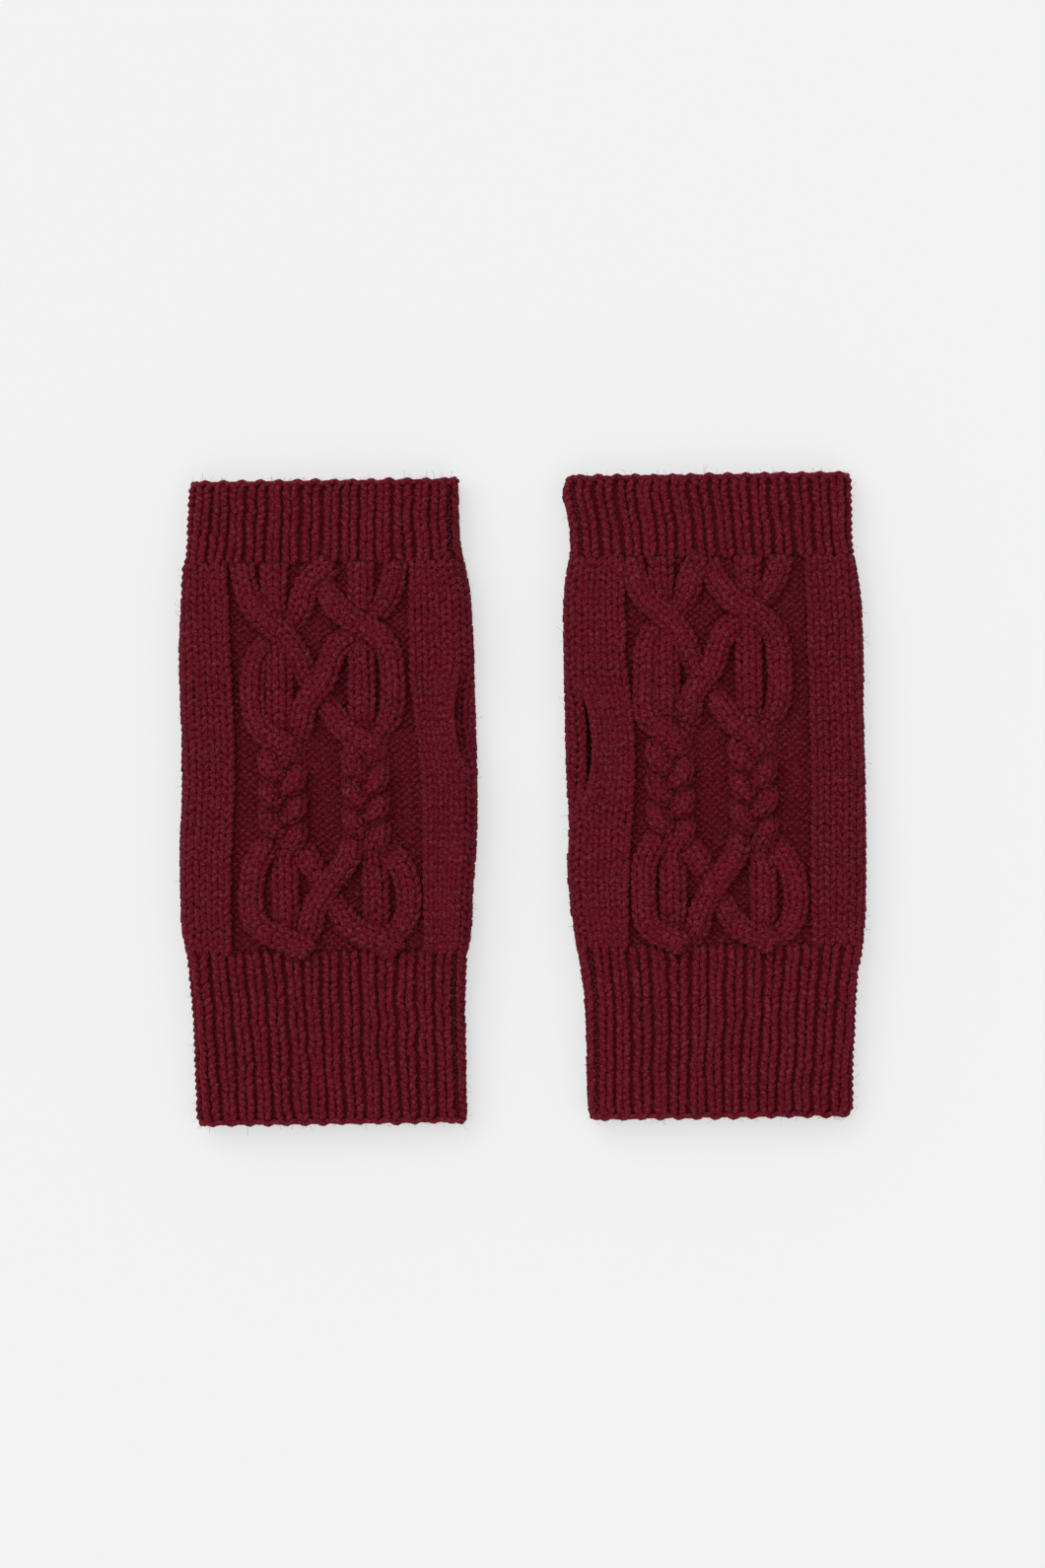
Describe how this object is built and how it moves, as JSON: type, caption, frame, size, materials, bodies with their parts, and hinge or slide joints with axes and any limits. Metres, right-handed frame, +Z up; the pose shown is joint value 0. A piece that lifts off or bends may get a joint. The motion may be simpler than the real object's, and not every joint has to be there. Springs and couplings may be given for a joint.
{
  "type": "fingerless gloves",
  "caption": "Hand-knitted fingerless gloves with twisted cables on the backs, ribbed cuffs and an open thumb slit, lying flat side by side.",
  "frame": {"origin": "middle of the pair's outline on the surface that the gloves lie on", "axes": "+X across the pair from the left glove to the right one, +Y towards the finger ends, +Z up, out of the backs of the hands"},
  "size_m": [0.2222, 0.2132, 0.0129],
  "materials": {
    "palm_knit": "plain knitted wool",
    "border_knit": "plain knitted wool, standing proud of the ground",
    "purl_ground": "reverse side of plain knitting, darker in its hollows",
    "cable_knit": "raised plain strands crossing over each other",
    "rib_knit": "knit one, purl one ribbing",
    "edge_yarn": "rolled chain edge",
    "seam_yarn": "sewing yarn of the same wool"
  },
  "bodies": {
    "left_palm": {"left_palm_panel": "palm_knit", "left_palm_fold": "palm_knit", "left_thumb_side_upper": "palm_knit", "left_thumb_side_lower": "palm_knit", "left_seam_upper": "seam_yarn", "left_seam_lower": "seam_yarn", "left_slit_edge_palm": "edge_yarn"},
    "left_back": {"left_back_ground": "purl_ground", "left_outer_border": "border_knit", "left_thumb_border": "border_knit", "left_cables": "cable_knit", "left_slit_edge_back": "edge_yarn"},
    "left_wrist_cuff": {"left_wrist_rib_back": "rib_knit", "left_wrist_rib_palm": "rib_knit", "left_wrist_fold": "rib_knit", "left_wrist_seam_side": "rib_knit", "left_wrist_seam": "seam_yarn", "left_cast_on_back": "edge_yarn", "left_cast_on_palm": "edge_yarn"},
    "left_finger_cuff": {"left_finger_rib_back": "rib_knit", "left_finger_rib_palm": "rib_knit", "left_finger_fold": "rib_knit", "left_finger_seam_side": "rib_knit", "left_finger_seam": "seam_yarn", "left_bind_off_back": "edge_yarn", "left_bind_off_palm": "edge_yarn"},
    "right_palm": {"right_palm_panel": "palm_knit", "right_palm_fold": "palm_knit", "right_thumb_side_upper": "palm_knit", "right_thumb_side_lower": "palm_knit", "right_seam_upper": "seam_yarn", "right_seam_lower": "seam_yarn", "right_slit_edge_palm": "edge_yarn"},
    "right_back": {"right_back_ground": "purl_ground", "right_outer_border": "border_knit", "right_thumb_border": "border_knit", "right_cables": "cable_knit", "right_slit_edge_back": "edge_yarn"},
    "right_wrist_cuff": {"right_wrist_rib_back": "rib_knit", "right_wrist_rib_palm": "rib_knit", "right_wrist_fold": "rib_knit", "right_wrist_seam_side": "rib_knit", "right_wrist_seam": "seam_yarn", "right_cast_on_back": "edge_yarn", "right_cast_on_palm": "edge_yarn"},
    "right_finger_cuff": {"right_finger_rib_back": "rib_knit", "right_finger_rib_palm": "rib_knit", "right_finger_fold": "rib_knit", "right_finger_seam_side": "rib_knit", "right_finger_seam": "seam_yarn", "right_bind_off_back": "edge_yarn", "right_bind_off_palm": "edge_yarn"}
  },
  "joints": [
    {"name": "left_hand_opening", "type": "slide", "parent": "left_palm", "child": "left_back", "axis": [0, 0, 1], "range_m": [0, 0.018]},
    {"name": "left_wrist_cuff_fold", "type": "hinge", "parent": "left_palm", "child": "left_wrist_cuff", "pos_m": [-0.06182, -0.04999, 0.0109], "axis": [-0.9999, -0.014, 0], "range_deg": [0, 90]},
    {"name": "left_finger_cuff_fold", "type": "hinge", "parent": "left_palm", "child": "left_finger_cuff", "pos_m": [-0.06359, 0.07699, 0.0109], "axis": [0.9999, 0.014, 0], "range_deg": [0, 90]},
    {"name": "right_glove_apart", "type": "slide", "parent": "left_palm", "child": "right_palm", "axis": [1, 0, 0], "range_m": [0, 0.08]},
    {"name": "right_hand_opening", "type": "slide", "parent": "right_palm", "child": "right_back", "axis": [0, 0, 1], "range_m": [0, 0.018]},
    {"name": "right_wrist_cuff_fold", "type": "hinge", "parent": "right_palm", "child": "right_wrist_cuff", "pos_m": [0.06318, -0.048, 0.0109], "axis": [-0.9999, -0.014, 0], "range_deg": [0, 90]},
    {"name": "right_finger_cuff_fold", "type": "hinge", "parent": "right_palm", "child": "right_finger_cuff", "pos_m": [0.06141, 0.07899, 0.0109], "axis": [0.9999, 0.014, 0], "range_deg": [0, 90]}
  ]
}
